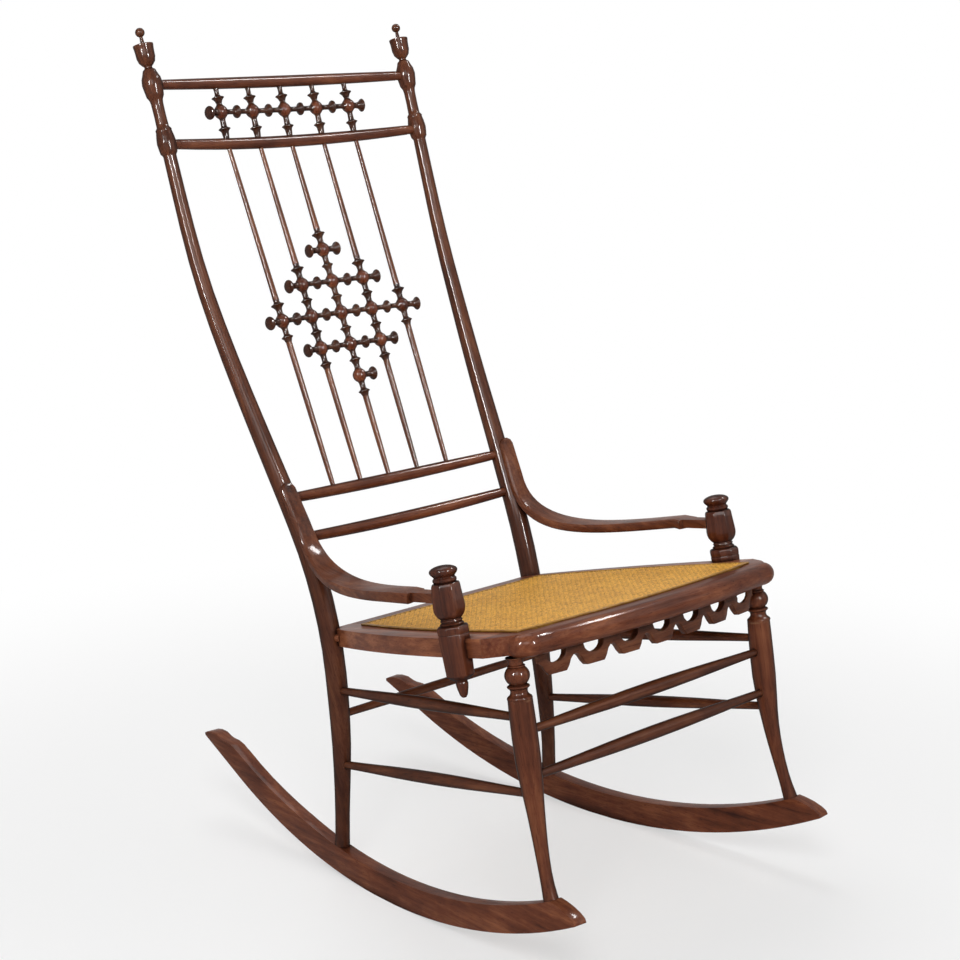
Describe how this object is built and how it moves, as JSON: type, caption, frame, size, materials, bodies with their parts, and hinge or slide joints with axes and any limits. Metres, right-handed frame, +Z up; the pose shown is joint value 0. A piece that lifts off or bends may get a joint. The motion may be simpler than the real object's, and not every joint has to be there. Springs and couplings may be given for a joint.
{
  "type": "rocking chair",
  "caption": "High-backed turned wood rocking chair: caned seat sloping back, bent arms on turned posts, curved rockers, and a lattice of spindles and beads in the back.",
  "frame": {"origin": "on the floor, at the middle of the bounding box's underside", "axes": "+Z up, -Y is the way the sitter faces, +X is the sitter's left"},
  "size_m": [0.53, 0.7747, 1.045],
  "materials": {
    "frame_wood": "stained dark red-brown and varnished",
    "turned_wood": "stained dark red-brown and varnished",
    "rocker_wood": "stained dark red-brown and varnished, worn on the edges",
    "arm_post_wood": "stained dark red-brown and varnished",
    "apron_wood": "stained dark red-brown and varnished",
    "cane": "clear varnished split cane, open weave"
  },
  "bodies": {
    "root": {"rocker_left": "rocker_wood", "rocker_right": "rocker_wood", "back_post_left": "frame_wood", "back_post_right": "frame_wood", "finial_left": "turned_wood", "finial_right": "turned_wood", "crest_rail": "frame_wood", "gallery_rail": "frame_wood", "lower_back_rail": "frame_wood", "lumbar_rail": "frame_wood", "gallery_spindle_1": "turned_wood", "gallery_spindle_2": "turned_wood", "gallery_spindle_3": "turned_wood", "gallery_spindle_4": "turned_wood", "gallery_spindle_5": "turned_wood", "long_spindle_1": "turned_wood", "long_spindle_2": "turned_wood", "long_spindle_3": "turned_wood", "long_spindle_4": "turned_wood", "long_spindle_5": "turned_wood", "gallery_beads": "turned_wood", "gallery_knobs": "turned_wood", "lattice_beads_row_2": "turned_wood", "lattice_beads_row_3": "turned_wood", "lattice_beads_row_4": "turned_wood", "lattice_knobs_row_1": "turned_wood", "lattice_knobs_row_2": "turned_wood", "lattice_knobs_row_3": "turned_wood", "lattice_knobs_row_4": "turned_wood", "lattice_knob_row_5": "turned_wood", "seat_rail_left": "frame_wood", "seat_rail_right": "frame_wood", "seat_rail_back": "frame_wood", "seat_rail_front": "frame_wood", "cane_panel": "cane", "apron": "apron_wood", "arm_left": "frame_wood", "arm_right": "frame_wood", "arm_post_left": "arm_post_wood", "arm_post_right": "arm_post_wood", "front_leg_left": "frame_wood", "front_leg_right": "frame_wood", "side_stretcher_upper_left": "frame_wood", "side_stretcher_upper_right": "frame_wood", "side_stretcher_lower_left": "frame_wood", "side_stretcher_lower_right": "frame_wood", "front_stretcher_upper": "frame_wood", "front_stretcher_lower": "frame_wood", "back_stretcher": "frame_wood"}
  },
  "joints": []
}
